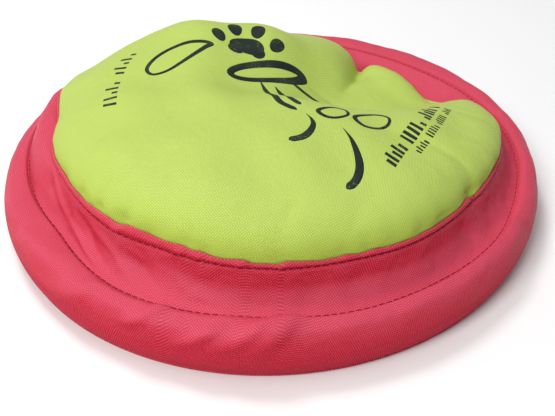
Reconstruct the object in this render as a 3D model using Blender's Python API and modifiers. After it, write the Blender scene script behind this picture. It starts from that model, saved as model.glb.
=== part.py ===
"""A soft fabric flying ring: a thin cloth crown sewn into a stiffer cloth band, round a hollow rim hose.

It is laid out as it lies when put down on a table. The casing round the hose is a little oval, and the seam
that holds the crown stands up on one side and has sunk on the other, so each ply's section changes from one
angle round the ring to the next.
Metres, +Z up. The origin is on the table, under the centre of the rim.
"""

import math

import bmesh
import bpy
from mathutils import Vector

MM = 0.001

# Driving dimensions
OUTER_RADIUS = 120.0 * MM  # of the cloth casing round the rim
CLOTH = 0.5 * MM  # thickness of one ply
PLY_PITCH = 1.0 * MM  # from one ply to the next where they lie on each other
RIM_STITCH = (109.3, 23.3)  # radius and height, in millimetres, where casing and band meet
HOSE_RADIUS = 7.0 * MM
HOSE_WALL = 2.3 * MM
HOSE_CENTRE = (111.6, 12.1)  # radius and height of its centre line, in millimetres
HOSE_END_GAP = 2.6 * MM  # room for the joiner's collar between the hose's two ends
JOINER_LENGTH = 26.0 * MM
THREAD_RADIUS = 0.25 * MM
THREAD_LIFT = 0.9 * MM  # from the middle of a ply to the middle of the thread on it
STEPS = 36  # straight sides round each ring

# How the soft ring lies
RIM_OVAL = 0.031  # share of its radius that the casing is long or short by
OVAL_TOWARDS = math.radians(30)  # direction of the long axis
SEAM_SPREAD = 1.5 * MM  # the crown seam is this much wider along X, and narrower along Y
SAG_TOWARDS = math.radians(52)  # where the crown seam has sunk the most
SAG_HALF_WIDTH = math.radians(110)
DENTS = (  # centre x, centre y, radius, depth
    (44.0 * MM, 20.0 * MM, 42.0 * MM, 14.0 * MM),
    (-2.0 * MM, 2.0 * MM, 34.0 * MM, 7.0 * MM),
)

# Sections as radius and height in millimetres: first where the crown seam stands up, then where it has sunk
BAND = (
    ((97.4, 41.6), (91.0, 20.4)),  # folded edge that holds the crown
    ((98.9, 38.2), (93.8, 17.2)),  # crown topstitch
    ((100.7, 30.2), (98.4, 18.8)),
    ((104.3, 25.6), (103.9, 22.2)),
    (RIM_STITCH, RIM_STITCH),
)
DOME = (
    ((95.6, 46.5), (89.2, 25.4)),
    ((92.0, 52.8), (86.8, 32.0)),
    ((83.0, 59.0), (79.5, 40.5)),
    ((65.0, 63.0), (63.0, 52.0)),
    ((38.0, 65.2), (38.0, 61.8)),
    ((0.0, 66.0), (0.0, 66.0)),
)
CASING = ((114.7, 22.4), (118.1, 17.8), (119.75, 12.6), (118.9, 6.2), (117.1, 1.6))
CASING_HEM = ((116.0, 1.5), (114.9, 3.4))
FOOT = ((109.2, 0.25), (113.9, 0.25), (114.9, 1.0), (113.9, 2.4))

COLOURS = {  # linear base colour, roughness
    "lime_cloth": ((0.50, 0.68, 0.10), 0.62),
    "coral_cloth": ((0.74, 0.055, 0.09), 0.55),
    "coral_thread": ((0.42, 0.02, 0.035), 0.6),
    "black_hose": ((0.03, 0.03, 0.032), 0.5),
    "white_plastic": ((0.75, 0.74, 0.71), 0.4),
    "coral_tape": ((0.55, 0.045, 0.07), 0.7),
}


def s_curve(value, low, high):
    """0 below low, 1 above high, and a smooth step between them."""
    share = min(1.0, max(0.0, (value - low) / (high - low)))
    return share * share * (3.0 - 2.0 * share)


def sag(angle):
    """0 where the crown seam stands up, 1 where it has sunk the most."""
    away = abs(math.remainder(angle - SAG_TOWARDS, math.tau))
    return 0.5 + 0.5 * math.cos(math.pi * min(1.0, away / SAG_HALF_WIDTH))


def placed(point, angle):
    """The place of a section's point, in millimetres of radius and height, at an angle round the soft ring."""
    radius, height = point[0] * MM, point[1] * MM
    inside = 1.0 - s_curve(radius, 97.0 * MM, 118.0 * MM)
    oval = radius * RIM_OVAL * math.cos(2.0 * (angle - OVAL_TOWARDS)) * (1.0 - inside)
    spread = SEAM_SPREAD * math.cos(2.0 * angle) * inside * (radius / (97.0 * MM)) ** 2
    x = (radius + oval + spread) * math.cos(angle)
    y = (radius + oval + spread) * math.sin(angle)
    free = 1.0 - s_curve(radius, 62.0 * MM, 88.0 * MM)
    dent = sum(d * math.exp(-((x - cx) ** 2 + (y - cy) ** 2) / (r * r)) for cx, cy, r, d in DENTS)
    return Vector((x, y, height - free * dent))


def blended(rows, angle):
    return [Vector(start).lerp(Vector(end), sag(angle)) for start, end in rows]


def rounded(points, per_span):
    """Points on a smooth curve through the given ones: per_span short straight pieces for each span."""
    ends = [points[0], *points, points[-1]]
    made = []
    for index in range(1, len(ends) - 2):
        before, start, end, after = ends[index - 1 : index + 3]
        for step in range(per_span):
            t = step / per_span
            quadratic = 2.0 * before - 5.0 * start + 4.0 * end - after
            cubic = 3.0 * start - before - 3.0 * end + after
            made.append(0.5 * (2.0 * start + (end - before) * t + quadratic * t * t + cubic * t**3))
    return [*made, points[-1]]


def beside(points, plies):
    """The same line moved sideways by a number of ply pitches, towards the inside of the ring."""
    moved = []
    for index, point in enumerate(points):
        along = (points[min(index + 1, len(points) - 1)] - points[max(index - 1, 0)]).normalized()
        moved.append(point - plies * (PLY_PITCH / MM) * Vector((-along.y, along.x)))
    return moved


def arc(centre, radius, start, end, count):
    """Points on an arc from the angle start to end, in degrees."""
    angles = (math.radians(start + (end - start) * i / count) for i in range(count + 1))
    return [Vector(centre) + radius * Vector((math.cos(a), math.sin(a))) for a in angles]


def clear_scene():
    for obj in list(bpy.data.objects):
        bpy.data.objects.remove(obj, do_unlink=True)


def new_collection(name):
    made = bpy.data.collections.new(name)
    bpy.context.scene.collection.children.link(made)
    return made


def material(name):
    found = bpy.data.materials.get(name)
    if found:
        return found
    colour, roughness = COLOURS[name]
    made = bpy.data.materials.new(name)
    made.use_nodes = True
    shader = made.node_tree.nodes["Principled BSDF"]
    shader.inputs["Base Color"].default_value = (*colour, 1.0)
    shader.inputs["Roughness"].default_value = roughness
    return made


def lofted(name, section, slot, home, thickness, offset=0.0):
    """A ply whose section, a function of the angle, changes round the ring. Solidify gives its thickness."""
    shape = bmesh.new()
    rows = []
    for step in range(STEPS):
        angle = math.tau * step / STEPS
        rows.append([shape.verts.new(placed(p, angle)) for p in section(angle)])
    for row, following in zip(rows, rows[1:] + rows[:1]):
        for index in range(len(row) - 1):
            shape.faces.new((row[index], row[index + 1], following[index + 1], following[index]))
    bmesh.ops.remove_doubles(shape, verts=shape.verts[:], dist=0.01 * MM)
    return finished(name, shape, slot, home, thickness, offset)


def finished(name, shape, slot, home, thickness, offset):
    mesh = bpy.data.meshes.new(name)
    shape.to_mesh(mesh)
    shape.free()
    mesh.shade_smooth()
    mesh.materials.append(material(slot))
    made = bpy.data.objects.new(name, mesh)
    home.objects.link(made)
    ply = made.modifiers.new("ply", "SOLIDIFY")
    ply.thickness = thickness
    ply.offset = offset
    ply.use_even_offset = True
    return made


def band(angle):
    """The band's outer ply, from its folded edge at the crown down and out to the rim stitch."""
    return rounded(blended(BAND, angle), 2)


def top_ring_section(angle):
    """From the turned-in hem, over the fold, down the band and round the outside of the rim to the table."""
    outer = band(angle)
    hem = beside(outer[:5], 1.0)
    middle = (outer[0] + hem[0]) / 2
    half = (outer[0] - hem[0]).length / 2
    towards_hem = math.degrees(math.atan2(hem[0].y - middle.y, hem[0].x - middle.x))
    fold = arc(middle, half, towards_hem, towards_hem - 180.0, 4)
    casing = [Vector(p) for p in (*CASING, *CASING_HEM)]
    return [*reversed(hem[1:]), *fold, *outer[1:], *casing]


def under_ring_section(angle):
    """From a flange under the band, round the inside of the hose to a flat foot on the table."""
    flange = beside(band(angle)[5:], 1.0)
    turn = Vector((RIM_STITCH[0] - 1.3, RIM_STITCH[1] - 2.2))
    side = arc(HOSE_CENTRE, HOSE_RADIUS / MM + 0.9, 132.0, 238.0, 5)
    return [*flange[:-1], flange[-1] + Vector((-0.4, 0.0)), turn, *side, *(Vector(p) for p in FOOT)]


def crown_section(angle):
    """From its allowance under the band, past the fold, up and in to the middle."""
    allowance = beside(band(angle)[:4], 2.1)
    dome = rounded([allowance[0], *blended(DOME, angle)], 2)
    return [*reversed(allowance[1:]), *dome]


def make_rings(home):
    lofted("crown_panel", crown_section, "lime_cloth", home, CLOTH)
    lofted("top_ring_panel", top_ring_section, "coral_cloth", home, CLOTH)
    lofted("under_ring_panel", under_ring_section, "coral_cloth", home, CLOTH)
    lofted("crown_seam_tape", lambda angle: beside(band(angle)[1:5], 3.2), "coral_tape", home, CLOTH)


def make_rim_hose(home):
    """The hollow hose that keeps the rim round, open where its two ends meet on the joiner."""
    shape = bmesh.new()
    half_gap = HOSE_END_GAP / 2 / (HOSE_CENTRE[0] * MM)
    rings = []
    for step in range(STEPS + 1):
        angle = math.radians(90.0) + half_gap + (math.tau - 2.0 * half_gap) * step / STEPS
        sides = arc(HOSE_CENTRE, HOSE_RADIUS / MM, 0.0, 330.0, 11)
        rings.append([shape.verts.new(placed(p, angle)) for p in sides])
    for ring, following in zip(rings, rings[1:]):
        for index in range(len(ring)):
            after = (index + 1) % len(ring)
            shape.faces.new((ring[index], following[index], following[after], ring[after]))
    bmesh.ops.recalc_face_normals(shape, faces=shape.faces[:])
    return finished("rim_hose", shape, "black_hose", home, HOSE_WALL, -1.0)


def make_hose_joiner(home):
    """A barbed plug pushed into both ends of the hose, with a collar between them."""
    half = JOINER_LENGTH / 2
    collar = HOSE_END_GAP / 2 - 0.5 * MM
    bore = HOSE_RADIUS - HOSE_WALL
    neck, barb = bore - 1.9 * MM, bore - 1.4 * MM
    side = [(collar, HOSE_RADIUS - 0.6 * MM), (collar, neck), (half / 2, neck), (half / 2, barb)]
    side += [(half - 2.0 * MM, neck), (half - 2.0 * MM, barb), (half, neck - 1.0 * MM), (half, 0.0)]
    profile = [(x, 0.0, r) for x, r in reversed(side)] + [(-x, 0.0, r) for x, r in side]
    mesh = bpy.data.meshes.new("hose_joiner")
    mesh.from_pydata(profile, [(i, i + 1) for i in range(len(profile) - 1)], [])
    mesh.materials.append(material("white_plastic"))
    made = bpy.data.objects.new("hose_joiner", mesh)
    home.objects.link(made)
    screw = made.modifiers.new("turn", "SCREW")
    screw.axis = "X"
    screw.steps = 16
    screw.render_steps = 16
    screw.use_merge_vertices = True
    screw.merge_threshold = 0.01 * MM
    half_gap = HOSE_END_GAP / 2 / (HOSE_CENTRE[0] * MM)
    first, last = (placed(HOSE_CENTRE, math.radians(90.0) + turn) for turn in (half_gap, -half_gap))
    made.location = (first + last) / 2
    made.rotation_euler = (0.0, 0.0, math.atan2(last.y - first.y, last.x - first.x))
    return made


def make_thread(name, line, home):
    """One thread of a lockstitch, as a plain ring along a line given as a function of the angle."""
    curve = bpy.data.curves.new(name, "CURVE")
    curve.dimensions = "3D"
    curve.bevel_depth = THREAD_RADIUS
    curve.bevel_resolution = 0
    spline = curve.splines.new("POLY")
    spline.points.add(STEPS - 1)
    for index, knot in enumerate(spline.points):
        angle = math.tau * index / STEPS
        knot.co = (*placed(line(angle), angle), 1.0)
    spline.use_cyclic_u = True
    curve.materials.append(material("coral_thread"))
    made = bpy.data.objects.new(name, curve)
    home.objects.link(made)
    return made


def make_threads(home):
    """Each seam is a lockstitch: a needle thread on its face and a bobbin thread on its back."""
    lift = THREAD_LIFT / PLY_PITCH
    make_thread("crown_topstitch_needle_thread", lambda angle: beside(band(angle), -lift)[2], home)
    make_thread("crown_topstitch_bobbin_thread", lambda angle: beside(band(angle), 3.0 + lift)[2], home)
    make_thread("rim_topstitch_needle_thread", lambda angle: Vector(RIM_STITCH) + Vector((0.1, 0.9)), home)
    make_thread("rim_topstitch_bobbin_thread", lambda angle: beside(band(angle), 1.0 + lift)[7], home)
    make_thread("edge_seam_needle_thread", lambda angle: Vector((116.4, 3.9)), home)
    make_thread("edge_seam_bobbin_thread", lambda angle: Vector((112.9, 1.4)), home)


def main():
    clear_scene()
    home = new_collection("flying_ring")
    make_rings(home)
    make_rim_hose(home)
    make_hose_joiner(home)
    make_threads(home)


main()
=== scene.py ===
"""The looks of a soft fabric flying disc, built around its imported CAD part.

Lengths are in millimetres inside this script and are turned into metres where a mesh is made.
Angles round the disc are in degrees, from +X towards +Y; the side nearest the camera is at -90.
"""
import math

import bpy
import numpy as np
from mathutils import Matrix, Vector
from mathutils.bvhtree import BVHTree


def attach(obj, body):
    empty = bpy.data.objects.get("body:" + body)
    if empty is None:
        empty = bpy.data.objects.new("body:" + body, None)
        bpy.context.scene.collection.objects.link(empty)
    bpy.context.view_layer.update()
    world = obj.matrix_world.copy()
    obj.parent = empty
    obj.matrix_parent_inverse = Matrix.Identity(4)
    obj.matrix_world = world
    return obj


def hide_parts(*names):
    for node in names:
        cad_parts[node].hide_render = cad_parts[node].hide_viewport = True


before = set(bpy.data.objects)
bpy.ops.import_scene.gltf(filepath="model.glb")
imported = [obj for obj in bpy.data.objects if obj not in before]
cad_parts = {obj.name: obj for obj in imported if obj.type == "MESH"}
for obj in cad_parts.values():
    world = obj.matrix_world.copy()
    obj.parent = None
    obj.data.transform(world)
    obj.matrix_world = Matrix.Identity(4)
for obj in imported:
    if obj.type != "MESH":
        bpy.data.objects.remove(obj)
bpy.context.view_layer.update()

MM = 0.001
STITCH_PITCH = 3.1
CLOTH = 0.34  # thickness of a ply
PLY = 0.62  # from one ply to the next where they lie on each other
HEM_PLY = 0.45  # and in the pressed hem at the lip
CROWN_BELOW = 1.26 * PLY  # the crown below the band's face, at the lip
ALLOWANCE_BELOW = 2.05 * PLY  # its seam allowance, at the crown stitch
TAPE_BELOW = 2.9 * PLY  # and the tape under both

RIM_STITCH_RADIUS = 108  # about
CASING_RADIUS = 120
OVAL, OVAL_HEADING = 0.031, 29.7  # the casing's outline: how oval it is, and where its long axis points
HOSE_HEIGHT, HOSE_RADIUS = 12.1, 7  # its centre above the ground, and half its own height
CASING_GAP = 0.85  # from the hose to the middle of the cloth round it

# ======== seams, by angle round the disc
# crown topstitch: angle, radius, height
CROWN_STITCH = (
    (-180, 99.6, 37.8), (-174, 97, 37.6), (-168, 98.6, 37.9), (-162, 100, 38.2), (-150, 98.9, 38.2),
    (-140, 99.2, 38.2), (-128, 99.7, 37.2), (-116, 97.8, 38), (-100, 98.7, 38.2), (-86, 97.8, 38.2),
    (-72, 96.4, 38.2), (-60, 97.2, 38.2), (-48, 96.6, 37.9), (-37, 95.4, 36.9), (-30, 96.8, 36.2),
    (-20, 97.8, 35), (-8, 101.2, 32.5), (0, 103, 31), (12, 101.5, 27.5), (24, 96.5, 22.5), (32, 93, 19),
    (42, 92.5, 17.5), (52, 93, 17), (61, 93, 17.5), (75, 92.5, 18), (90, 92, 19), (105, 92, 20.5),
    (120, 93.5, 22), (135, 96, 25.5), (148, 98.5, 30.5), (157, 101, 35), (165, 103, 37.3),
    (171, 103.4, 37.7), (176, 101.8, 37.8),
)
# rim topstitch: angle, radius, height
RIM_STITCH = (
    (-180, 112.3, 24.9), (-165, 111.3, 24.9), (-154, 109.9, 24.3), (-143, 107.4, 23.5), (-132, 109.8, 23.5),
    (-123, 111.7, 23.6), (-117, 111.8, 23.6), (-106, 110, 23.5), (-97, 108, 23.4), (-88, 107.2, 23.4),
    (-75, 107.7, 23.5), (-64, 107.1, 23.5), (-55, 107, 23.5), (-46, 107.8, 23.5), (-33, 109.2, 23.5),
    (-20, 108.9, 23.5), (-10, 110, 23.5), (0, 111.6, 23.5), (12, 112, 23.5), (29, 111.4, 23.5),
    (44, 108.6, 23.5), (60, 107.4, 23.5), (90, 106.6, 23.5), (120, 107.5, 23.5), (150, 110.6, 24.4),
)
# how far the folded lip stands above its stitch, and how far the crown puffs out over it
LIP = (
    (-180, 2.9, 0.8), (-150, 2.9, 0.7), (-140, 2.7, 0.7), (-135, 3.7, 0.7), (-129, 5, 0.75),
    (-123, 5.4, 0.75), (-118, 4.6, 0.75), (-112, 4.2, 0.8), (-106, 3.8, 0.8), (-99, 2.7, 0.85),
    (-90, 2.3, 0.9), (-50, 2.4, 0.9), (-20, 2.6, 0.9), (10, 2.8, 1), (60, 2.8, 1.1), (120, 2.8, 1),
    (160, 2.9, 0.8),
)

# heights of the crown's soft top: x, y, z
CROWN_TOP = (
    (0, -78, 58.5), (-42, -62, 60), (-76, -32, 57), (-62, 2, 61), (-34, -28, 62.5), (-4, -44, 62),
    (36, -58, 57.5), (66, -42, 52.5), (82, -16, 48), (-87, 8, 52.5), (-85, 30, 49), (-74, 46, 49.5),
    (-47, 50, 63), (-20, 49, 61.5), (2, 48, 59.5), (-61, 48, 57.5), (-22, 6, 56.5), (-8, 2, 52.5),
    (10, 12, 43.5), (24, 18, 34.5), (36, 30, 31.5), (41, 62, 37), (12, 44, 51), (20, 62, 46),
    (31, 71, 41.5), (26, 46, 40), (55, 52, 34.5), (49, 32, 31), (61, 60, 33.5), (51, 68, 34.5),
    (67, 50, 32), (78, 44, 19.5), (65, 25, 28), (50, 15, 32), (22, -15, 57), (40, -12, 54), (57, -8, 51.5),
    (74, 5, 48), (88, 19, 43.5), (97, 12, 39.5), (38, 6, 36), (0, -14, 60), (88, 31, 33), (-30, 80, 40),
    (0, 82, 38), (-60, 72, 40), (46, 60, 21.5),
)

# where the crown is pinched into its seam: angle, half width in degrees, depth, step in the lip
PINCHES = (
    (-34.8, 2.8, 3.4, -2.3), (-27.5, 2, 1.4, 0.8), (-88.2, 2, 1, 1.3), (-75, 1.8, 0.9, 0.8),
    (-48, 3.2, 1.6, 0), (-124.4, 1.4, 2, 1), (-108.6, 1.5, 1, -0.7), (-104.6, 1.2, 0.8, -0.5),
    (-95, 1.4, 0.9, -0.7), (-131.8, 1.2, 1.8, 0), (-139.1, 1.6, 1.4, -0.5), (-149.4, 2, 0.8, -0.3),
    (-118, 1.3, 0.5, -0.3), (-69, 1.2, 0.7, 0.5), (-55, 1.6, 0.9, 0.5), (-45, 1.5, 0.5, 0.2),
    (-5, 2.2, 1, 0.3), (7.6, 2.2, 0.8, 0.2), (32, 5, 3, 0), (61.8, 3, 3.4, 0), (101, 4, 1.6, 0),
    (139, 3.5, 1.4, 0), (178, 3, 0.8, 0),
)

# soft creases in the ring panel: angle, half width in degrees, slant in degrees a millimetre, start and end
# from the rim stitch, height, and how sharp the edge is, below zero on the side of higher angles
CREASES = (
    # on the casing
    (-83.4, 5.4, -0.44, 0, 28, 1.7, -0.8), (-88.5, 4, -0.65, 3, 27, 1.4, -0.75),
    (-95.4, 4, -0.5, 0.5, 18, 0.9, -0.65), (-98.5, 3.4, -0.6, 7, 27, 1, -0.4),
    (-108, 2.6, -0.5, 0, 15, 1.1, -0.75), (-111, 4.4, 0.2, 6, 24, 0.8, -0.2),
    (-121, 3.8, -0.4, 0.5, 22, 0.8, -0.5), (-130, 4.4, -0.4, 1, 22, -0.7, 0.4),
    (-147, 3.2, -0.2, 0, 18, -0.6, 0.5), (-157, 3.4, 0.2, 1, 18, 0.55, 0), (-70, 4.4, 0.4, 3, 22, -0.4, 0),
    (-52, 4, 0.4, 2, 20, -0.3, 0.3), (-26, 2.4, 0, 0.5, 20, -0.5, 0.6), (-12, 3.4, 0.3, 1, 18, -0.3, 0.4),
    (13, 1.6, 0.3, -9, 7, -0.4, 0.5), (19, 2.6, -0.3, 1, 18, 0.3, 0),
    # on the band
    (-158.4, 3, 1.3, -17, -6, 1.1, 0.5), (-147, 5, 2.4, -9.5, -1, 0.9, 0.5),
    (-154.8, 3.2, 0.3, -18, -6, -0.9, 0), (-141, 3.6, 1, -16, -3, -0.8, 0.4),
    (-133, 3.8, 1.2, -16, -1.5, 0.7, 0.5), (-124, 3.8, 1, -16, -2, -0.55, 0.4),
    (-116, 4.4, 1, -16, -2, 0.5, 0.5), (-98, 4, 0.6, -16, -4, 0.2, 0), (-71, 4, -0.4, -16, -4, -0.2, 0.3),
    (-60, 3.8, 0.3, -16, -4, 0.2, 0), (-43, 2.6, 0.3, -18, -5, -0.4, 0.4),
    (-35, 2.2, 0.2, -16, -5, 0.35, 0.3), (-29, 2.4, 0.4, -16, -4, -0.4, 0.3),
    (-15, 3.6, -0.6, -15, -3, 0.25, 0), (-3, 3, 0.5, -12, -2, -0.25, 0.4), (30, 2, 0.2, -17, -5, -0.7, 0.6),
    (36, 3, 0.5, -17, -4, 0.5, 0), (44, 2.4, 0.6, -17, -3, -0.6, 0.6), (50, 3.4, 0.2, -18, -5, 0.5, 0),
    (61, 1.8, -0.2, -18, -7, -1.2, 0.6), (68, 4, 0, -18, -5, 0.6, 0), (101, 5, 0.2, -18, -5, -0.7, 0.3),
    (112, 4, 0.2, -18, -4, 0.5, 0), (139, 3.5, 0.3, -18, -4, -0.6, 0.4), (84, 3, 0, -18, -5, -0.4, 0.3),
    # in the lip
    (-122, 1.8, -0.65, -27, -18, 0.5, -0.7), (-108.4, 1.4, -0.5, -26, -17, 0.45, -0.7),
    (-104, 1.2, -0.5, -25, -17, 0.35, -0.7), (-95, 1.4, -0.4, -24, -17, 0.4, -0.7),
    (-87, 1.6, -0.4, -24, -17, 0.45, 0.7),
)

# the rounded shoulder: angle, share of the radius it takes, and how gently it starts from the lip
SHOULDER = (
    (-180, 0.26, 1.2), (-160, 0.24, 1.1), (-135, 0.22, 1), (-90, 0.24, 0.95), (-45, 0.2, 0.9),
    (-15, 0.13, 0.9), (10, 0.1, 0.9), (45, 0.1, 0.9), (90, 0.16, 0.9), (140, 0.2, 0.9), (160, 0.24, 1.1),
)

# folds in the crown: half width, and the line it follows as x, y and depth
FOLDS = (
    (4.2, ((47, 88, 15), (43, 72, 12), (40, 57, 8), (36, 44, 4), (31, 32, 0.5))),
    (3.5, ((-12, 4, 0), (0, -3, 0.7), (8, -7, 0.9), (15, -9, 0))),
    (2.6, ((8, 30, 0), (16, 24, 0.9), (27, 20, 1.2), (38, 17, 0.8), (48, 14, 0))),
    (3, ((30, -28, 0), (44, -33, 0.5), (60, -38, 0.7), (73, -45, 0.9), (80, -52, 0.6))),
    (3, ((70, 0, 0), (82, -4, 0.7), (92, -8, 0.9), (100, -12, 0.5))),
    (3.4, ((-78, -52, 0.9), (-66, -44, 0.6), (-54, -36, 0))),
    (3, ((-58, -74, 1), (-50, -64, 0.7), (-40, -54, 0))),
    (3, ((-66, -66, 1.1), (-58, -58, 0.6), (-50, -50, 0))),
    (2.8, ((2, -94, 0.8), (6, -84, 0.6), (12, -74, 0))),
    (2.8, ((26, -90, 0.9), (32, -80, 0.7), (40, -70, 0))),
    (4, ((-30, 20, 0), (-22, 30, 0.7), (-14, 40, 0.9), (-10, 52, 0))),
)

# the angles round the disc at which all the cloth is worked out
STEPS = 600
DEGREES = np.arange(STEPS) * 360.0 / STEPS
TURN = np.radians(DEGREES)


def around(table, column, blur=3.0):
    """A smooth periodic curve through a table's column, at each angle. blur is in degrees."""
    rows = sorted(table)
    fine = np.arange(0, 360, 0.5) - 180.0
    values = np.interp(fine, [r[0] for r in rows], [r[column] for r in rows], period=360.0)
    frequency = np.fft.rfftfreq(len(fine), 0.5 / 360)
    soften = np.exp(-0.5 * (2 * math.pi * frequency * blur / 360) ** 2)
    values = np.fft.irfft(np.fft.rfft(values) * soften, len(fine))
    return np.interp(DEGREES, fine, values, period=360.0)


def s_curve(value, low, high):
    """0 up to low, 1 from high on, and smooth between them."""
    share = np.clip((value - low) / (high - low), 0, 1)
    return share * share * (3 - 2 * share)


def away_from(degrees, centre):
    """The turn from one angle to another, between -180 and 180."""
    return (degrees - centre + 180) % 360 - 180


def bell(distance, width, power=2):
    """1 at no distance, falling off on both sides."""
    return np.exp(-((distance / width) ** power))


def bump(centre, width):
    """1 at an angle, falling off round the disc."""
    return bell(away_from(DEGREES, centre), width)


def ripples(x, y, wavelength, count, seed):
    """Smooth seeded noise of about unit size, as a sum of plane waves."""
    rng = np.random.default_rng(seed)
    total = np.zeros(np.broadcast(x, y).shape)
    for _ in range(count):
        heading, phase = rng.uniform(0, math.tau, 2)
        k = math.tau / (wavelength * rng.uniform(0.7, 1.4))
        total += np.sin(k * (x * math.cos(heading) + y * math.sin(heading)) + phase)
    return total / math.sqrt(count / 2)


def ring_noise(waves, seed):
    """Smooth seeded noise of about unit size. waves is its lowest and highest count round the disc."""
    rng = np.random.default_rng(seed)
    total = np.zeros(STEPS)
    orders = range(waves[0], waves[1] + 1)
    for order in orders:
        total += rng.normal() * np.cos(order * TURN + rng.uniform(0, math.tau))
    return total / math.sqrt(len(orders) / 2)


def running(steps):
    """The sum of the steps up to each point, from zero."""
    return np.concatenate([np.zeros_like(steps[:1]), np.cumsum(steps, axis=0)])


def unit(vectors):
    """The vectors, each made one long."""
    return vectors / (np.linalg.norm(vectors, axis=-1, keepdims=True) + 1e-12)


def cubic(a, b, c, d, t):
    """A smooth curve from b to c, which also follows the controls before and after them."""
    return b + 0.5 * t * (c - a + t * (2 * a - 5 * b + 4 * c - d + t * (3 * (b - c) + d - a)))


def along_curve(points, count, density=1):
    """Points along smooth curves through control points, and the row where each control point falls.

    points is controls x angles x 2. A row is the same share of the curve at every angle, so rows stay smooth.
    density says how close together the rows lie between two controls, one number for each pair or for all.
    """
    ends = np.concatenate([points[:1], points, points[-1:]])
    fine = 12
    shares = np.arange(fine) / fine
    made = [cubic(*ends[span : span + 4], t) for span in range(len(points) - 1) for t in shares]
    made = np.array([*made, points[-1]])
    length = np.linalg.norm(np.diff(made, axis=0), axis=2).mean(axis=1)
    length = length * np.repeat(np.broadcast_to(density, len(points) - 1), fine)
    distance = running(length)
    wanted = np.interp(np.linspace(0, distance[-1], count), distance, np.arange(len(distance)))
    rows = distance[::fine] / distance[-1] * (count - 1)
    return np.array([at_row(made, row) for row in wanted]), rows


def distance_along(line):
    """How far each row lies from the first, along the rows."""
    return running(np.linalg.norm(np.diff(line, axis=0), axis=2))


def at_row(values, row):
    """A grid's values at a row that may lie between two."""
    low = min(int(row), len(values) - 2)
    return values[low] * (1 - (row - low)) + values[low + 1] * (row - low)


def beside(line, distance):
    """Lines moved sideways in the plane of radius and height. line is samples x angles x 2."""
    along = unit(np.gradient(line, axis=0))
    return line + distance * np.stack([-along[..., 1], along[..., 0]], axis=2)


def in_plan(radius):
    """A radius at each angle, as x and y."""
    return np.stack([radius * np.cos(TURN), radius * np.sin(TURN)], axis=-1)


def in_space(line):
    """Radius and height at each angle, as x, y and z."""
    return np.concatenate([in_plan(line[..., 0]), line[..., 1:]], axis=-1)


# ======== meshes
def cloth_mesh(name, grid, flat, closed_pole=False):
    """A mesh from a grid of points, rows x angles x 3. flat holds each point's place on the flat cloth."""
    points, places = grid.reshape(-1, 3), flat.reshape(-1, 2)
    here = np.arange(len(points)).reshape(grid.shape[:2])
    after = np.roll(here, -1, axis=1)
    faces = np.stack([here[:-1], after[:-1], after[1:], here[1:]], axis=-1).reshape(-1, 4).tolist()
    if closed_pole:
        faces += [(a, b, len(points)) for a, b in zip(here[-1].tolist(), after[-1].tolist())]
        points = np.concatenate([points, grid[-1].mean(axis=0, keepdims=True)])
        places = np.concatenate([places, flat[-1].mean(axis=0, keepdims=True)])
    mesh = smooth_mesh(name, points, faces)
    attribute = mesh.attributes.new("flat", "FLOAT_VECTOR", "POINT")
    values = np.pad(places * MM, ((0, 0), (0, 1)))
    attribute.data.foreach_set("vector", values.astype(np.float32).ravel())
    return mesh


def smooth_mesh(name, points, faces):
    """A smooth-shaded mesh from points in millimetres."""
    mesh = bpy.data.meshes.new(name)
    mesh.from_pydata((points * MM).tolist(), [], faces)
    mesh.shade_smooth()
    return mesh


def placed(name, data, matrix=None):
    """A new object in the scene."""
    made = bpy.data.objects.new(name, data)
    bpy.context.scene.collection.objects.link(made)
    if matrix:
        made.matrix_world = matrix
    return made


def piece(name, mesh, material, nodes=(), thickness=None, offset=0.0):
    """A piece of the object, which stands for the named CAD nodes."""
    made = placed(name, mesh)
    mesh.materials.append(material)
    if thickness:
        ply = made.modifiers.new("ply", "SOLIDIFY")
        ply.thickness = thickness * MM
        ply.offset = offset
    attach(made, "root")
    if nodes:
        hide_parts(*nodes)
    return made


# ======== the sewn seams
def sunk():
    """0 where the crown seam stands up, 1 where it has sunk."""
    return s_curve(38 - around(CROWN_STITCH, 2), 0, 20)


def lip_lean():
    """How far the lip leans in over its stitch."""
    return 0.3 + 0.9 * sunk()


def seam_lines():
    """The lip's folded edge, the crown stitch and the rim stitch at each angle, as radius and height."""
    stitch, rim = (
        np.stack([around(table, 1), around(table, 2)], axis=-1) for table in (CROWN_STITCH, RIM_STITCH)
    )
    rise = around(LIP, 1) + 0.12 * ring_noise((26, 60), 5)
    lip = stitch + np.stack([0.1 * ring_noise((24, 60), 6) - lip_lean(), rise], axis=-1)
    for angle, width, deep, step in PINCHES:
        lip[..., 1] -= 0.12 * deep * bump(angle, width)
        lip[..., 0] -= 0.2 * deep * bump(angle, width)
        lip[..., 1] += 0.8 * step * np.tanh(away_from(DEGREES, angle) / 0.9) * bump(angle, 3.2)
    return lip, stitch, rim


CROWN_CONTROL, RIM_CONTROL = 2, 7  # which of the band's controls are its two stitches
# the casing's outline below them: how far inside its outermost edge, and how high
CASING = ((6.8, 25.3), (3.2, 23.6), (0.9, 19), (0, 12.8), (0.8, 6.6), (2.4, 2.4))


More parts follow.
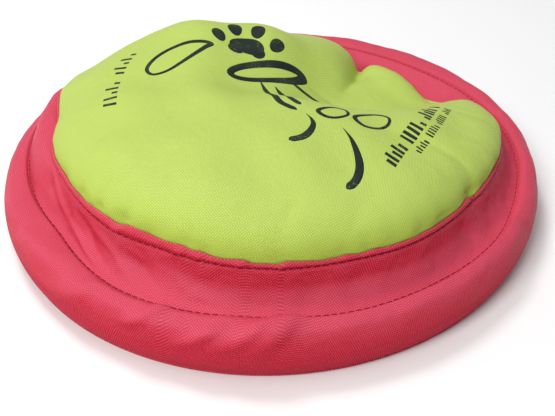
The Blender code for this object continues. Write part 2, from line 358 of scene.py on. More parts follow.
def band_controls():
    """The top ring panel's outer face, from the lip to the casing's lower edge."""
    lip, stitch, rim = seam_lines()
    low = sunk()[:, None]
    fall = stitch[:, 1:2] - rim[:, 1:2]
    span = rim[:, 0:1] - stitch[:, 0:1]

    def between(across, down, flat_across, flat_down):
        """A point on the band: shares of its width and fall where it stands up, and where it has sunk."""
        x = across * (1 - low) + flat_across * low
        y = down * (1 - low) + flat_down * low
        return np.concatenate([stitch[:, 0:1] + span * x, stitch[:, 1:2] - fall * y], axis=1)

    edge = CASING_RADIUS * (1 + OVAL * np.cos(2 * np.radians(DEGREES - OVAL_HEADING))[:, None])

    def casing(inset, height):
        return np.concatenate([edge - inset, np.full_like(edge, height)], axis=1)

    mid = lip * 0.45 + stitch * 0.55 + (lip[:, 1:2] - stitch[:, 1:2]) * np.array([0.18, 0.06])
    shelf = bell(away_from(DEGREES, 177), 25, 4)[:, None]
    hollow = bell(away_from(DEGREES, -82), 48, 4)[:, None]

    def shaped(usual, on_shelf, in_hollow):
        """A point between the stitches: as usual, where the band stands out, and where it's hollow."""
        usual = between(*usual) * (1 - hollow) + between(*in_hollow) * hollow
        return usual * (1 - shelf) + between(*on_shelf, *on_shelf) * shelf

    return np.array([
        lip + np.array([0.05, 0.0]),
        mid,
        stitch,
        shaped((0.16, 0.3, 0.2, 0.05), (0.33, 0.04), (0.08, 0.32, 0.2, 0.05)),
        shaped((0.34, 0.62, 0.45, 0.35), (0.62, 0.16), (0.19, 0.58, 0.45, 0.35)),
        shaped((0.62, 0.88, 0.72, 0.75), (0.82, 0.46), (0.46, 0.8, 0.72, 0.75)),
        shaped((0.86, 1, 0.9, 1), (0.94, 0.82), (0.75, 0.95, 0.9, 1)),
        rim,
        rim + np.array([1.6, 1.15]),
        *(casing(*place) for place in CASING),
    ])


def wrinkles(degrees, across, wavelength, count, seed):
    """Smooth seeded noise that closes on itself round the disc. wavelength is measured at the rim stitch."""
    rng = np.random.default_rng(seed)
    turns = RIM_STITCH_RADIUS * math.tau / wavelength
    total = 0.0
    for _ in range(count):
        order = round(turns * rng.uniform(0.55, 1.3))
        slope = math.tau / (wavelength * rng.uniform(0.7, 1.6)) * rng.choice((-1, 1))
        total = total + np.sin(order * np.radians(degrees) + slope * across + rng.uniform(0, math.tau))
    return total / math.sqrt(count / 2)


# rows of each cloth, and how densely the top ring's lie after each control: most at the lip and the stitches
RING_ROWS, UNDER_ROWS, TAPE_ROWS = 64, 70, 14
RING_DENSITY = (1, 1, 1, 0.7, 0.65, 0.7, 1, 1, 0.8, 0.65, 0.6, 0.5, 0.5, 0.6)


def ring_face():
    """The top ring panel's outer face, as radius and height, and the rows of its crown and rim stitches."""
    line, rows = along_curve(band_controls(), RING_ROWS, RING_DENSITY)
    crown_row, rim_row = rows[CROWN_CONTROL], rows[RIM_CONTROL]
    outward = beside(line, 1) - line
    distance = distance_along(line)
    from_crown = distance - at_row(distance, crown_row)
    from_rim = distance - at_row(distance, rim_row)
    to_edge = distance[-1:] - distance
    relief = stitch_relief(from_crown, from_rim)
    on_band = s_curve(from_crown, 0.5, 4) * s_curve(-from_rim, 0.5, 4)
    on_casing = s_curve(from_rim, 1, 8) * s_curve(to_edge, 10, 26)
    slanted = DEGREES + 0.74 * from_rim
    relief += on_band * 0.12 * wrinkles(DEGREES, from_crown * 0.5, 21, 9, 21)
    relief += on_band * 0.04 * wrinkles(DEGREES, from_crown * 0.9, 7, 9, 22)
    relief += on_casing * 0.12 * wrinkles(slanted, from_rim * 0.25, 29, 8, 23)
    relief += on_casing * 0.05 * wrinkles(slanted, from_rim * 0.4, 9, 8, 24)
    relief += creases(from_rim) * (1 - 0.9 * s_curve(-to_edge, -21, -9))
    return line + outward * relief[..., None], crown_row, rim_row


def stitch_relief(from_crown, from_rim):
    """The grooves that the two stitches pull into the cloth, and the small puckers along them."""
    rim_groove = 0.55 - 0.5 * bump(176, 20) - 0.5 * bump(85, 38)
    pucker = 0.5 + 0.5 * np.cos(math.tau * TURN * RIM_STITCH_RADIUS / STITCH_PITCH)
    relief = -0.5 * bell(from_crown, 0.8) - rim_groove * bell(from_rim, 0.7)
    return relief - 0.14 * pucker * (bell(from_crown, 1.8) + bell(from_rim, 2))


def creases(from_rim):
    """The height of the creases in CREASES."""
    total = 0.0
    for angle, width, slant, start, end, height, edge in CREASES:
        away = away_from(DEGREES - slant * (from_rim - start), angle) / width
        reach = s_curve(from_rim, start, start + 4) * s_curve(-from_rim, -end, -end + 4)
        total = total + height * reach * bell(away, 1) * (1 + edge * np.tanh(away * 3))
    return total


def ring_flat(line, inner_radius):
    """Where each point of a ring panel lies on the flat cloth that it was cut from."""
    return in_plan(inner_radius + distance_along(line))


HEM_ROWS, FOLD_ROWS = 9, 5


def hem_rows(line):
    """The turned-in hem behind the lip, and the rounded fold, before the outer face's first row."""
    inner = beside(line[:HEM_ROWS], -HEM_PLY)
    middle = (line[0] + inner[0]) / 2
    up = unit(line[0] - line[1])
    out = line[0] - middle
    half = np.linalg.norm(out, axis=1, keepdims=True)
    fold = []
    for turn in np.linspace(0, math.pi, FOLD_ROWS + 2)[1:-1]:
        fold.append(middle - math.cos(turn) * out + math.sin(turn) * up * half * 1.25)
    return np.concatenate([inner[::-1], np.array(fold)])


def top_ring(face):
    """The top ring panel, from the hem at the lip to the hem under the rim."""
    whole = np.concatenate([hem_rows(face), face, lower_hem(face)])
    return cloth_mesh("top_ring_panel_cloth", in_space(whole), ring_flat(whole, 84))


def lower_hem(face):
    """The casing's lower edge, turned in above the under panel's."""
    last = face[-1]
    return np.array([last + (-0.7, -0.75), last + (-1.6, -0.6), last + (-2.5, 0.5), last + (-3.1, 2)])


def under_ring(face, rim_row):
    """The under panel: a flange below the band, then round the hose's inner side to a flat foot and out."""
    flange = [at_row(beside(face, -PLY), rim_row - back) for back in (7.5, 5, 2.5)]
    rim = at_row(face, rim_row)
    centre, half = hose_section()

    def beside_hose(across, height):
        return np.stack([centre + across, np.full_like(centre, height)], axis=-1)

    wide, tall = half + CASING_GAP, HOSE_RADIUS + CASING_GAP
    turns = np.radians((136, 156, 178, 200, 222))
    around_hose = [beside_hose(wide * math.cos(turn), HOSE_HEIGHT + tall * math.sin(turn)) for turn in turns]
    foot = [beside_hose(*place) for place in ((-3.6, 0.75), (-2.4, 0.2), (1.2, 0.2))]
    turned_in = ((-3.4, -2.18), (-1.5, -1.95), (-0.35, -1.5), (-1.3, -1.05), (-3.2, -0.6))
    seam = [face[-1] + place for place in turned_in]
    controls = np.array([*flange, rim + (-0.5, -1.15), rim + (-0.9, -2.3), *around_hose, *foot, *seam])
    line, _ = along_curve(controls, UNDER_ROWS)
    line[..., 1] = np.maximum(line[..., 1], CLOTH / 2 + 0.03)
    return cloth_mesh("under_ring_panel_cloth", in_space(line), ring_flat(line, 82))


def hose_section():
    """The radius of the hose's centre line and half its width at each angle, measured on the frame's hose."""
    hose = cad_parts["rim_hose"]
    x, y, _ = np.array([hose.matrix_world @ vertex.co for vertex in hose.data.vertices]).T / MM
    radius = np.hypot(x, y)
    sectors = 36
    sector = np.round(np.arctan2(y, x) / math.tau * sectors).astype(int) % sectors
    inner = np.array([radius[sector == k].min() for k in range(sectors)])
    outer = np.array([radius[sector == k].max() for k in range(sectors)])

    def smooth(values):
        """Only the mean and the two longest waves of the values."""
        waves = np.fft.rfft(values) / sectors
        return waves[0].real + 2 * sum((waves[k] * np.exp(1j * k * TURN)).real for k in (1, 2))

    return smooth((outer + inner) / 2), smooth((outer - inner) / 2)


def seam_tape(face, crown_row):
    """The tape under the crown seam, from the hem to below the band."""
    under = beside(face, -TAPE_BELOW)
    rows = np.linspace(crown_row - 2, crown_row + 8.8, TAPE_ROWS)
    picked = np.array([at_row(under, row) for row in rows])
    return cloth_mesh("crown_seam_tape_cloth", in_space(picked), ring_flat(picked, 90))


# ======== stitches
THREAD = 0.17  # radius
# one stitch along its length: where, how high above the seam, and how thick
STITCH = (
    (0, -0.42, 0.8), (0.07, -0.02, 1), (0.22, 0.15, 1.05), (0.5, 0.19, 1), (0.78, 0.15, 1.05),
    (0.93, -0.02, 1), (1, -0.42, 0.8),
)
SIDES = 6  # of a thread


def stitches(name, face, row, lift, phase, material):
    """Lockstitches along a row of a face, each a short thread that dips into the cloth at its ends.

    lift is how far they lie off the face. Below it they bulge downwards.
    """
    line = at_row(face, row)
    normal = at_row(beside(face, 1) - face, row)
    place = in_space(line + normal * lift)
    normal = in_space(line + normal * (lift + 1)) - place
    if lift < 0:
        normal = -normal
    closed = np.concatenate([place, place[:1]])
    distance = running(np.linalg.norm(np.diff(closed, axis=0), axis=1))
    count = round(distance[-1] / STITCH_PITCH)
    rng = np.random.default_rng(len(name))
    along, height, girth = np.array(STITCH).T
    starts = (np.arange(count) + phase + rng.normal(0, 0.025, count)) / count
    spans = (0.86 + rng.normal(0, 0.02, count)) / count
    s = ((starts[:, None] + spans[:, None] * along) % 1) * distance[-1]

    def sample(values):
        wrapped = np.concatenate([values, values[:1]])
        return np.stack([np.interp(s, distance, wrapped[:, k]) for k in range(3)], axis=-1)

    centre, out = sample(place), unit(sample(normal))
    side = np.cross(unit(np.gradient(centre, axis=1)), out)
    centre = centre + out * height[:, None] + side * rng.normal(0, 0.03, (count, 1, 1))
    turns = np.arange(SIDES)[:, None] * math.tau / SIDES
    around_it = np.cos(turns) * side[:, :, None] + np.sin(turns) * out[:, :, None]
    points = centre[:, :, None] + THREAD * girth[:, None, None] * around_it
    here = np.arange(points.size // 3).reshape(points.shape[:3])
    after = np.roll(here, -1, axis=2)
    sides = np.stack([here[:, :-1], here[:, 1:], after[:, 1:], after[:, :-1]], axis=-1).reshape(-1, 4)
    faces = [*sides.tolist(), *here[:, 0].tolist(), *here[:, -1, ::-1].tolist()]
    mesh = smooth_mesh(name, points.reshape(-1, 3), faces)
    return piece(name, mesh, material, [name + "_thread"])


# ======== the crown
def thin_plate(points, give=4):
    """A smooth surface near scattered heights, as a function of x and y. It gives a little between them."""
    points = np.array(points, float)
    at, count = points[:, :2], len(points)

    def kernel(offset):
        squared = (offset**2).sum(axis=-1)
        return 0.005 * squared * np.log(squared + 1e-9)

    plane = np.concatenate([np.ones((count, 1)), at], axis=1)
    bend = kernel(at[:, None] - at[None]) + give * np.eye(count)
    system = np.block([[bend, plane], [plane.T, np.zeros((3, 3))]])
    solved = np.linalg.solve(system, np.concatenate([points[:, 2], np.zeros(3)]))

    def height(x, y):
        place = np.stack([x, y], axis=-1)
        total = solved[count] + solved[count + 1] * x + solved[count + 2] * y
        for weight, point in zip(solved, at):
            total = total + weight * kernel(place - point)
        return total

    return height


WALL_ROWS, TOP_ROWS = 26, 53  # of the rounded shoulder and of the top
POLE_SHARE = 0.992  # how far towards the middle the rows go; a fan closes the rest


def folds(x, y):
    """How much the folds lower the crown."""
    total = np.zeros_like(x)
    for width, line in FOLDS:
        nearest, deep = np.full_like(x, np.inf), np.zeros_like(x)
        for (ax, ay, a), (bx, by, b) in zip(line, line[1:]):
            dx, dy = bx - ax, by - ay
            share = np.clip(((x - ax) * dx + (y - ay) * dy) / (dx * dx + dy * dy), 0, 1)
            away = np.hypot(x - ax - share * dx, y - ay - share * dy)
            closer = away < nearest
            nearest = np.where(closer, away, nearest)
            deep = np.where(closer, a + share * (b - a), deep)
        # a V in section, with its sharp bottom rounded off
        total += deep * np.exp(-(np.sqrt(nearest**2 + 0.5) - 0.7) / width)
    return total


def crown_rows():
    """The crown's exposed cloth, from the lip to near the middle: rows x angles x 3."""
    lip, stitch, _ = seam_lines()
    start = lip + np.array([-CROWN_BELOW, 0.1])
    radius = stitch[:, 0] - lip_lean() - CROWN_BELOW
    base = stitch[:, 1] + around(LIP, 1) + 0.1
    width = around(SHOULDER, 1)
    angle = np.concatenate([np.linspace(0, 1, WALL_ROWS), np.ones(TOP_ROWS)])[:, None] * math.pi / 2
    inward = np.concatenate([np.zeros(WALL_ROWS), np.linspace(0, 1, TOP_ROWS + 2)[1:-1]])[:, None]
    share = width * (1 - np.cos(angle)) + (1 - width) * inward * POLE_SHARE
    reach = radius * (1 - share)
    x, y = reach * np.cos(TURN), reach * np.sin(TURN)
    top = thin_plate(CROWN_TOP)(x, y) - folds(x, y)
    z = base + (top - base) * np.sin(angle) ** around(SHOULDER, 2)
    climb = running(np.hypot(np.diff(reach, axis=0), np.diff(z, axis=0)))
    tuck = tucks(climb) + 0.5 * ripples(x, y, 42, 8, 33) * s_curve(climb, 6, 25)
    puff = around(LIP, 2) * np.sin(2 * angle)
    near_lip = np.exp(-climb / 2.5)
    reach = reach + puff + tuck * np.cos(angle) + near_lip * (start[:, 0] - radius)
    z = z + tuck * np.sin(angle) + near_lip * (start[:, 1] - base)
    return in_space(np.stack([reach, z], axis=-1))


def tucks(climb):
    """How far the pinches and puckers draw the crown in. climb is the distance up the crown from its seam."""
    total = 0.13 * ring_noise((28, 64), 31) * np.exp(-climb / 9) * s_curve(climb, 0, 3)
    for centre, half, deep, _ in PINCHES:
        fade = np.exp(-climb / (1.5 + 1.8 * deep)) * s_curve(climb, -0.5, 2.6)
        total = total - deep * fade * bell(away_from(DEGREES, centre), half * (1 + climb / 9))
    return total


def crown(face, crown_row):
    """The crown's cloth: its seam allowance between the band and the tape, then the part that shows."""
    below_band = beside(face, -ALLOWANCE_BELOW)
    allowance = np.array([at_row(below_band, crown_row + after) for after in (5, 2.5, 0)])
    grid = np.concatenate([in_space(allowance), crown_rows()])
    to_pole = np.linalg.norm(grid[-1] - grid[-1].mean(axis=0), axis=1)
    flat = in_plan(to_pole + distance_along(grid[::-1])[::-1])
    return cloth_mesh("crown_panel_cloth", grid, flat, closed_pole=True)


# ======== the print
# lines in ink on the crown: width, kind and points in plan. A swelling line is widest near its end.
INK_LINES = (
    (2.1, "closed", ((-31.4, 24), (-37, 24.2), (-43.5, 22.6), (-50.2, 17.6), (-55.6, 9.8), (-57.8, 2),
                     (-54.6, -2.2), (-48.6, 0.4), (-43, 6.6), (-37.6, 14.4), (-33.6, 20.6))),
    (2.8, "even", ((-8.2, 8.6), (-5.6, 1), (-2, -11), (1, -21.5), (7.8, -28))),
    (2.8, "even", ((-1.4, 7.6), (0.8, 1.6), (3.6, -8), (5.6, -16.5), (9.4, -23))),
    (2.6, "even", ((4.6, 18.4), (8.6, 17.2), (13, 15), (19, 12.4), (25, 13.6))),
    (1.7, "closed", ((16.6, -26.6), (19.6, -31.1), (24.5, -31), (28.9, -26.6), (28, -21.6), (22.6, -21.2))),
    (1.7, "closed", ((31.9, -27), (34.4, -33.9), (39.8, -34.2), (45.2, -29.5), (46.4, -22.8), (41, -21))),
    (3.3, "swell", ((11.5, -30.6), (13.6, -34), (14.3, -38.3), (12.7, -43.8), (9.6, -48.4), (4.6, -51.4))),
    (3.4, "swell", ((26.2, -38.8), (29.3, -46.2), (31.2, -55.3), (31.4, -62.8), (29.6, -69.4), (26, -74.2))),
)
# filled spots: middle in plan, half length, half width, heading in degrees
INK_SPOTS = (
    (-15.4, 31, 8.2, 5.6, 8), (-10.2, 28.2, 3.4, 3.6, -30), (-20.6, 27, 3.4, 3.8, 40),
    (-28.6, 33, 4.8, 3, 112), (-21.6, 42, 5.6, 3.4, 100), (-10.6, 43, 5.6, 3.4, 82),
    (-1.4, 36.6, 4.8, 3.1, 62),
)
# rows of plain slanted bars: their height, spacing, width and slant in degrees, and the row's line
INK_BARS = (
    (5.8, 4.2, 1.6, 84, ((-69, -25.5), (-70.6, -13), (-70.6, -0.7), (-69.6, 12), (-67, 23.5))),
    (6.8, 3.6, 2, 72, ((43, -57.4), (47.9, -46.5), (53.4, -35.8), (58.9, -25), (65.8, -8), (69.6, 2))),
    (3.5, 2.2, 1.05, 78, ((55.8, -45.6), (61, -35.8), (66.2, -25), (71, -13.5), (75.6, -2))),
)
# an outlined disc seen at a slant: line width, middle, half length, half width, heading in degrees
INK_OVAL = (3.9, -5.2, 17.2, 19.2, 5.2, 32)
INK = 0.05  # thickness
HIGH_ABOVE = 200  # the height from which the print is dropped on the crown


def smooth_line(points, closed, spacing=0.55):
    """Points evenly along a smooth curve through the given ones."""
    points = np.array(points, float)
    before, after = points[-1:], points[:2]
    if not closed:
        before, after = 2 * points[:1] - points[1:2], 2 * points[-1:] - points[-2:-1]
    p = np.concatenate([before, points, after])
    t = np.linspace(0, 1, 16, endpoint=False)[:, None]
    made = np.concatenate([*(cubic(*p[k : k + 4], t) for k in range(len(p) - 3)), p[-2:-1]])
    steps = running(np.hypot(*np.diff(made, axis=0).T))
    wanted = np.linspace(0, steps[-1], max(int(steps[-1] / spacing), 6) + 1)
    return np.stack([np.interp(wanted, steps, made[:, k]) for k in range(2)], axis=-1)


def headings(path, closed=False):
    """The direction of a line at each of its points, and the direction to its left."""
    if closed:
        along = np.roll(path, -1, axis=0) - np.roll(path, 1, axis=0)
    else:
        along = np.gradient(path, axis=0)
    along = unit(along)
    return along, np.stack([-along[:, 1], along[:, 0]], axis=-1)


def directions(heading):
    """The direction at a heading in degrees, and the direction to its left."""
    turn = math.radians(heading)
    return np.array([math.cos(turn), math.sin(turn)]), np.array([-math.sin(turn), math.cos(turn)])


class Inked:
    """Flat shapes in ink, gathered in plan and laid on the crown as one thin mesh."""

    def __init__(self, tree):
        self.tree, self.points, self.faces = tree, [], []

    def lay(self, strip, closed=False):
        """Lays down a strip of rows x columns x 2 in plan. A closed one joins its last row to its first."""
        rows, columns = strip.shape[:2]
        first = len(self.points)
        for x, y in strip.reshape(-1, 2):
            at, normal, _, _ = self.tree.ray_cast(Vector((x, y, HIGH_ABOVE)), Vector((0, 0, -1)))
            up = normal if normal.z > 0 else -normal
            self.points.append(at + up * (CLOTH / 2 + 0.02))
        for i in range(rows if closed else rows - 1):
            for j in range(columns - 1):
                a, b = first + i * columns + j, first + (i + 1) % rows * columns + j
                self.faces.append((a, a + 1, b + 1, b))

    def line(self, width, kind, points):
        closed = kind == "closed"
        line = smooth_line(points, closed)
        line = line[:-1] if closed else line
        side = headings(line, closed)[1]
        share = np.linspace(0, 1, len(line))
        half = width / 2 * (1 + 0.22 * np.sin(math.tau * share + 1))
        if not closed:
            half = width / 2 * s_curve(share, -0.12, 0.3) * np.sqrt(np.clip((1.001 - share) / 0.06, 0, 1))
        if kind == "swell":
            half *= 0.35 + 0.65 * s_curve(share, -0.1, 0.75)
        across = np.linspace(-1, 1, 5)[None, :, None]
        self.lay(line[:, None] + side[:, None] * half[:, None, None] * across, closed)

    def spot(self, x, y, long, wide, heading):
        along, side = directions(heading)
        share = np.cos(np.linspace(math.pi * 0.985, math.pi * 0.015, 22))
        half = wide * np.sqrt(1 - share**2) * (1 + 0.12 * share)
        across = np.linspace(-1, 1, 15)[None, :, None]
        middle = np.array([x, y]) + share[:, None] * long * along
        self.lay(middle[:, None] + side * half[:, None, None] * across)

    def oval(self, width, x, y, long, wide, heading):
        along, side = directions(heading)
        angles = np.linspace(0, math.tau, 24, endpoint=False)[:, None]
        outline = np.array([x, y]) + along * long * np.cos(angles) + side * wide * np.sin(angles)
        self.line(width, "closed", outline)

    def bar(self, middle, along, side, height, width, slant):
        turn = math.radians(slant)
        lean = along * math.cos(turn) + side * math.sin(turn)
        up = np.linspace(0, height, max(int(height / 0.6), 2) + 1)[:, None, None]
        across = np.linspace(-0.5, 0.5, 4)[None, :, None]
        self.lay(middle - lean * height / 2 + up * lean + across * width * along)

    def bars(self, height, spacing, width, slant, line, rng):
        """A row of bars on one base line, in groups of five."""
        path = smooth_line(line, False, spacing)
        for step, (middle, along, side) in enumerate(zip(path, *headings(path))):
            if step % 6 == 5:
                continue
            tall = height * (1.0 if step % 2 else rng.choice((0.45, 0.7, 1)))
            tilt = slant + rng.normal(0, 3)
            self.bar(middle + side * (tall - height) / 2, along, side, tall, width, tilt)


def crown_print(crown_mesh, material):
    """The generic print, in plan on the crown."""
    points = [vertex.co / MM for vertex in crown_mesh.vertices]
    ink = Inked(BVHTree.FromPolygons(points, [tuple(face.vertices) for face in crown_mesh.polygons]))
    for line in INK_LINES:
        ink.line(*line)
    for spot in INK_SPOTS:
        ink.spot(*spot)
    ink.oval(*INK_OVAL)
    rng = np.random.default_rng(3)
    for row in INK_BARS:
        ink.bars(*row, rng)
    mesh = smooth_mesh("crown_print", np.array(ink.points), ink.faces)
    return piece("crown_print", mesh, material, (), INK, 1)


# ======== camera, light and floor, in metres
CAMERA = ((0, -0.2939, 0.2266), (0.0013, -0.0289, 0.01), 1.96, 49.45)  # place, target, roll and lens
# name, place, target, size and watts
SOFTBOXES = (
    ("key", (-0.5, -0.7, 0.9), (0, 0, 0), 0.45, 9.2),
    ("top", (0, -0.1, 1.3), (0, 0, 0), 0.7, 2.4),
    ("rim", (-0.3, 0.25, 1), (0, 0, 0), 0.25, 4),
    ("back", (0.3, 1.1, 1), (0.3, 1.6, 0), 1, 4),
)
AMBIENT = 0.22
FLOOR = 3  # from the middle to each side


def camera(place, target, roll, lens):
    """The camera. roll is in degrees and lens in millimetres."""
    data = bpy.data.cameras.new("camera")
    data.lens = lens
    data.clip_start, data.clip_end = 0.01, 10
    bpy.context.scene.camera = placed("camera", data, aimed(place, target, roll))


def aimed(place, target, roll=0.0):
    """A matrix at a place, looking at a target down its own -Z. roll is in degrees."""
    turn = (Vector(target) - Vector(place)).to_track_quat("-Z", "Y").to_matrix().to_4x4()
    return Matrix.Translation(place) @ turn @ Matrix.Rotation(math.radians(roll), 4, "Z")


def softbox(name, place, target, size, watts):
    light = bpy.data.lights.new(name, "AREA")
    light.shape = "RECTANGLE"
    light.size = light.size_y = size
    light.energy = watts
    placed(name, light, aimed(place, target))


def floor():
    mesh = bpy.data.meshes.new("floor")
    corners = [(x * FLOOR, y * FLOOR, 0) for x, y in ((-1, -1), (1, -1), (1, 1), (-1, 1))]
    mesh.from_pydata(corners, [], [(0, 1, 2, 3)])
    white = Look("floor")
    white.set(base_color=(0.95, 0.95, 0.95, 1), roughness=0.9)
    mesh.materials.append(white.material)
    placed("floor", mesh)


def surroundings():
    world = bpy.data.worlds.new("studio")
    bpy.context.scene.world = world
    world.use_nodes = True
    background = world.node_tree.nodes["Background"]
    background.inputs["Color"].default_value = (1, 1, 1, 1)
    background.inputs["Strength"].default_value = AMBIENT


# ======== materials
class Look:
    """A small builder for a material's nodes."""

    def __init__(self, name):
        self.material = bpy.data.materials.new(name)
        self.material.use_nodes = True
        tree = self.material.node_tree
        self.nodes, self.links = tree.nodes, tree.links
        self.shader = self.nodes["Principled BSDF"]

    def feed(self, socket, value):
        if isinstance(value, bpy.types.NodeSocket):
            self.links.new(value, socket)
        else:
            socket.default_value = value

    def set(self, **values):
        """Feeds the shader's own sockets, named in small letters."""
        for name, value in values.items():
            self.feed(self.shader.inputs[name.replace("_", " ").title().replace("Ior", "IOR")], value)

    def node(self, kind, output, inputs, **settings):
        made = self.nodes.new(kind)
        for name, value in settings.items():
            setattr(made, name, value)
        for name, value in inputs.items():
            self.feed(made.inputs[name], value)
        return made.outputs[output]

    def math(self, operation, a, b=0):
        return self.node("ShaderNodeMath", 0, {0: a, 1: b}, operation=operation)

    def times(self, a, b):
        return self.math("MULTIPLY", a, b)

    def axis(self, vector, index):
        """One of a vector's x, y and z."""
        return self.node("ShaderNodeSeparateXYZ", index, {0: vector})

    def noise(self, vector, scale, detail=2, roughness=0.5, distortion=0):
        inputs = {"Vector": vector, "Scale": scale, "Detail": detail, "Roughness": roughness}
        return self.node("ShaderNodeTexNoise", 0, {**inputs, "Distortion": distortion})

    def ramp(self, value, low, high, start=0, end=1):
        inputs = {"Value": value, "From Min": low, "From Max": high, "To Min": start, "To Max": end}
        return self.node("ShaderNodeMapRange", 0, inputs)

    def mix(self, share, a, b):
        """Colour a, with a share of colour b."""
        return self.node("ShaderNodeMix", 2, {0: share, 6: a, 7: b}, data_type="RGBA")

    def stretched(self, vector, x, y, z):
        return self.node("ShaderNodeVectorMath", 0, {0: vector, 1: (x, y, z)}, operation="MULTIPLY")

    def bump(self, height, distance, strength=1, normal=None):
        inputs = {"Height": height, "Distance": distance, "Strength": strength}
        if normal is not None:
            inputs["Normal"] = normal
        return self.node("ShaderNodeBump", 0, inputs)

    def object_place(self):
        return self.node("ShaderNodeTexCoord", "Object", {})


WEAVE_TURN = 0.12  # radians, from the flat cloth's x to its yarns
SPECK, DIRT = (0.11, 0.05, 0.04, 1), (0.2, 0.13, 0.1, 1)


def tone(colour, share):
    """The colour made darker or brighter."""
    return (*(min(c * share, 1) for c in colour), 1)


def woven(
    name, colour, pale, dark, deep, pitch=0.58, sheen=0.05, gloss=0.44, top_highlight=(0.35, 0.95, 0.3), grime=0,
):
    """Plain-woven polyester: yarns over and under, fine wrinkles, uneven dyeing, scuffs and a few specks.

    pale, dark and deep are its colours on the raised yarns, between yarns and where it faces down. pale is
    painted highlight on the glinting yarns and where it faces up, and also random pale spots and scuffs; dark
    is painted shade between the yarns and also random darker fibres; deep is painted shade where it faces
    down. Where it faces up it is
    painted paler, as painted highlight: one keyword gives the upward slope this starts at, the slope it is
    full at, and the share. grime is the largest share of dirt.
    """
    made = Look(name)
    pale, dark, deep = (*pale, 1), (*dark, 1), (*deep, 1)
    flat = made.node("ShaderNodeAttribute", "Vector", {}, attribute_name="flat")
    upward = made.axis(made.node("ShaderNodeNewGeometry", "Normal", {}), 2)

    # the weave: across and along count the yarns, and over is 1 where a warp yarn lies on top
    turned = made.node(
        "ShaderNodeVectorRotate", 0, {"Vector": flat, "Angle": WEAVE_TURN}, rotation_type="Z_AXIS")
    yarns = made.stretched(turned, *(1 / (pitch * MM),) * 3)
    across = made.math("SINE", made.times(made.axis(yarns, 0), math.pi))
    along = made.math("SINE", made.times(made.axis(yarns, 1), math.pi))
    over = made.ramp(made.times(across, along), -0.2, 0.2)
    under = made.math("SUBTRACT", 1, over)
    warp = made.math("POWER", made.math("ABSOLUTE", across), 0.6)
    weft = made.math("POWER", made.math("ABSOLUTE", along), 0.6)
    warp_top = made.times(warp, over)
    height = made.math("ADD", warp_top, made.times(weft, under))

    # the colour: uneven dyeing and random darker fibres, with painted highlight where it faces up and painted
    # shade where it faces down and between the yarns
    surface_colour = made.mix(made.ramp(made.noise(flat, 26, 3), 0.32, 0.68), tone(colour, 0.97), tone(colour, 1.03))
    surface_colour = made.mix(made.ramp(made.noise(flat, 300, 3, 0.6), 0.35, 0.7, 0, 0.1), surface_colour, pale)
    # painted highlight: paler where it faces up, towards the light
    surface_colour = made.mix(made.ramp(upward, top_highlight[0], top_highlight[1], 0, top_highlight[2]), surface_colour, pale)
    # painted shade: darker where it faces down, away from the light
    surface_colour = made.mix(made.ramp(upward, 0.35, -0.65, 0, 0.95), surface_colour, deep)
    fibre = made.noise(made.stretched(turned, 1, 0.12, 1), 5200, 2, 0.6)
    surface_colour = made.mix(made.ramp(fibre, 0.3, 0.7, 0, 0.22), surface_colour, dark)
    # painted shade: darker between the yarns, and on the cells where a weft yarn lies on top
    surface_colour = made.mix(made.ramp(height, 0.2, 0.85, 0.55, 0), surface_colour, dark)
    surface_colour = made.mix(made.times(under, 0.42), surface_colour, dark)

    # painted glints on the yarns, a painted highlight, then wear: scuffs, specks and dirt
    glint = made.ramp(made.noise(flat, 900, 2, 0.6), 0.3, 0.7, 0.35, 1)
    surface_colour = made.mix(made.times(made.ramp(warp_top, 0.45, 0.95, 0, 0.62), glint), surface_colour, pale)
    scuff = made.noise(made.stretched(flat, 1, 0.35, 1), 420, 4, 0.7, 0.6)
    surface_colour = made.mix(made.ramp(scuff, 0.66, 0.74, 0, 0.3), surface_colour, pale)
    surface_colour = made.mix(made.ramp(made.noise(flat, 640, 1), 0.815, 0.835, 0, 0.75), surface_colour, SPECK)
    if grime:
        surface_colour = made.mix(made.ramp(made.noise(flat, 62, 4, 0.6), 0.5, 0.75, 0, grime), surface_colour, DIRT)

    # the relief: soft waves, crinkles and the yarns
    soft = made.bump(made.noise(flat, 120, 3, 0.5, 0.4), 1.2 * MM, 0.4)
    crinkle = made.bump(made.noise(made.stretched(flat, 1, 0.5, 1), 520, 2), 0.12 * MM, 0.55, soft)
    raised = made.math("ADD", height, made.times(over, 0.35))
    made.set(
        base_color=surface_colour,
        normal=made.bump(raised, 0.2 * MM, 0.8, crinkle),
        roughness=made.ramp(over, 0, 1, gloss + 0.12, gloss - 0.03),
        specular_ior_level=made.ramp(upward, 0, 0.75, 0.02, 0.26),
        sheen_weight=sheen,
        sheen_roughness=0.4,
        sheen_tint=pale,
    )
    return made.material


def twisted_thread(name, colour):
    """Sewing thread: twisted fibres, unevenly dyed."""
    made = Look(name)
    place = made.object_place()
    twist = made.noise(made.stretched(place, 1, 1, 0.6), 3600, 2, 0.6, 0.5)
    surface_colour = made.mix(made.ramp(made.noise(place, 140), 0.35, 0.65), tone(colour, 0.8), tone(colour, 1.15))
    surface_colour = made.mix(made.ramp(twist, 0.35, 0.65, 0, 0.45), surface_colour, tone(colour, 0.5))
    made.set(base_color=surface_colour, normal=made.bump(twist, 0.06 * MM, 0.8), roughness=0.6, specular_ior_level=0.2)
    return made.material


def moulded(name, colour, gloss, grain, marks):
    """Rubber or plastic: faint draw lines, fine grain, smudges."""
    made = Look(name)
    place = made.object_place()
    smudge = made.noise(place, 55, 4, 0.6)
    draw = made.noise(made.stretched(place, 1, 1, 9), 500, 2)
    fine = made.noise(place, grain, 3, 0.6)
    surface_colour = made.mix(made.ramp(smudge, 0.4, 0.7), tone(colour, 0.9), tone(colour, 1.12))
    surface_colour = made.mix(made.ramp(fine, 0.6, 0.72, 0, marks), surface_colour, tone(colour, 1.6))
    normal = made.bump(draw, 0.05 * MM, 0.5, made.bump(fine, 0.05 * MM, 0.5))
    made.set(base_color=surface_colour, normal=normal, roughness=made.ramp(smudge, 0.35, 0.7, gloss, gloss + 0.18))
    return made.material


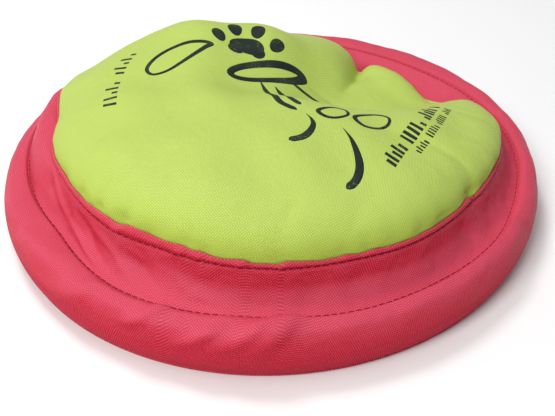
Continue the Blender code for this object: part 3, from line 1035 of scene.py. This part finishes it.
def ink_look():
    """Screen-printed ink, cracked through to the cloth in places."""
    made = Look("print_ink")
    place = made.object_place()
    crack = made.noise(place, 1500, 3, 0.65, 1.2)
    patch = made.noise(place, 95, 2)
    worn = made.times(made.ramp(crack, 0.6, 0.66), made.ramp(patch, 0.5, 0.62))
    surface_colour = made.mix(made.ramp(patch, 0.3, 0.7), (0.007, 0.014, 0.011, 1), (0.015, 0.026, 0.021, 1))
    surface_colour = made.mix(made.times(worn, 0.8), surface_colour, (0.42, 0.56, 0.09, 1))
    made.set(base_color=surface_colour, normal=made.bump(crack, 0.05 * MM, 0.6))
    made.set(roughness=made.ramp(crack, 0.3, 0.7, 0.5, 0.7), specular_ior_level=0.25)
    return made.material


# ======== the whole scene
def seams(face, crown_row, rim_row):
    """The six lines of stitches: for each its name, face, row, lift and phase."""
    thread = twisted_thread("coral_thread_twisted", (0.3, 0.006, 0.014))
    hem = lower_hem(face)
    above, below = CLOTH / 2, -CLOTH / 2
    lines = (
        ("crown_topstitch_needle", face, crown_row, above, 0),
        ("crown_topstitch_bobbin", face, crown_row, below - TAPE_BELOW, 0.5),
        ("rim_topstitch_needle", face, rim_row - 0.55, above, 0),
        ("rim_topstitch_bobbin", face, rim_row - 2.5, below - PLY, 0.5),
        ("edge_seam_needle", hem, 2.5, below, 0),
        ("edge_seam_bobbin", hem - (0.9, 1.2), 2.5, below, 0.5),
    )
    return [stitches(*line, thread) for line in lines]


def build():
    """The disc's pieces, each in place of its CAD node."""
    # after each cloth's own colour: pale, painted highlight (also random spots and scuffs); dark, painted
    # shade between yarns (also random fibres); deep, painted shade where it faces down
    red = woven(
        "coral_cloth_woven", (0.72, 0.018, 0.042), (0.93, 0.17, 0.29), (0.46, 0.005, 0.016),
        (0.34, 0.002, 0.007), top_highlight=(0.2, 0.8, 0.45),
    )
    green = woven(
        "lime_cloth_woven", (0.54, 0.69, 0.085), (0.70, 0.82, 0.33), (0.38, 0.53, 0.03), (0.36, 0.54, 0.03),
        sheen=0.06, gloss=0.46,
    )
    tape = woven(
        "coral_tape_woven", (0.56, 0.022, 0.045), (0.8, 0.14, 0.2), (0.4, 0.01, 0.02), (0.45, 0.01, 0.02),
        pitch=0.7, gloss=0.55, grime=0.2,
    )
    face, crown_row, rim_row = ring_face()
    crown_mesh = crown(face, crown_row)
    top, under, taped, crowned = (
        piece(f"{node}_cloth", mesh, material, [node], CLOTH)
        for node, mesh, material, slot in (
            ("top_ring_panel", top_ring(face), red, "coral_cloth"),
            ("under_ring_panel", under_ring(face, rim_row), red, "coral_cloth"),
            ("crown_seam_tape", seam_tape(face, crown_row), tape, "coral_tape"),
            ("crown_panel", crown_mesh, green, "lime_cloth"),
        )
    )
    inked = crown_print(crown_mesh, ink_look())
    crown_needle, crown_bobbin, rim_needle, rim_bobbin, *edge = seams(face, crown_row, rim_row)
    for node, look in (
        ("rim_hose", moulded("black_hose_drawn", (0.022, 0.022, 0.024), 0.42, 900, 0.25)),
        ("hose_joiner", moulded("white_plastic_moulded", (0.72, 0.71, 0.68), 0.34, 1400, 0.1)),
    ):
        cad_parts[node].data.materials[0] = look


build()
camera(*CAMERA)
for box in SOFTBOXES:
    softbox(*box)
surroundings()
floor()
bpy.context.scene.view_settings.view_transform = "Standard"
bpy.context.view_layer.update()
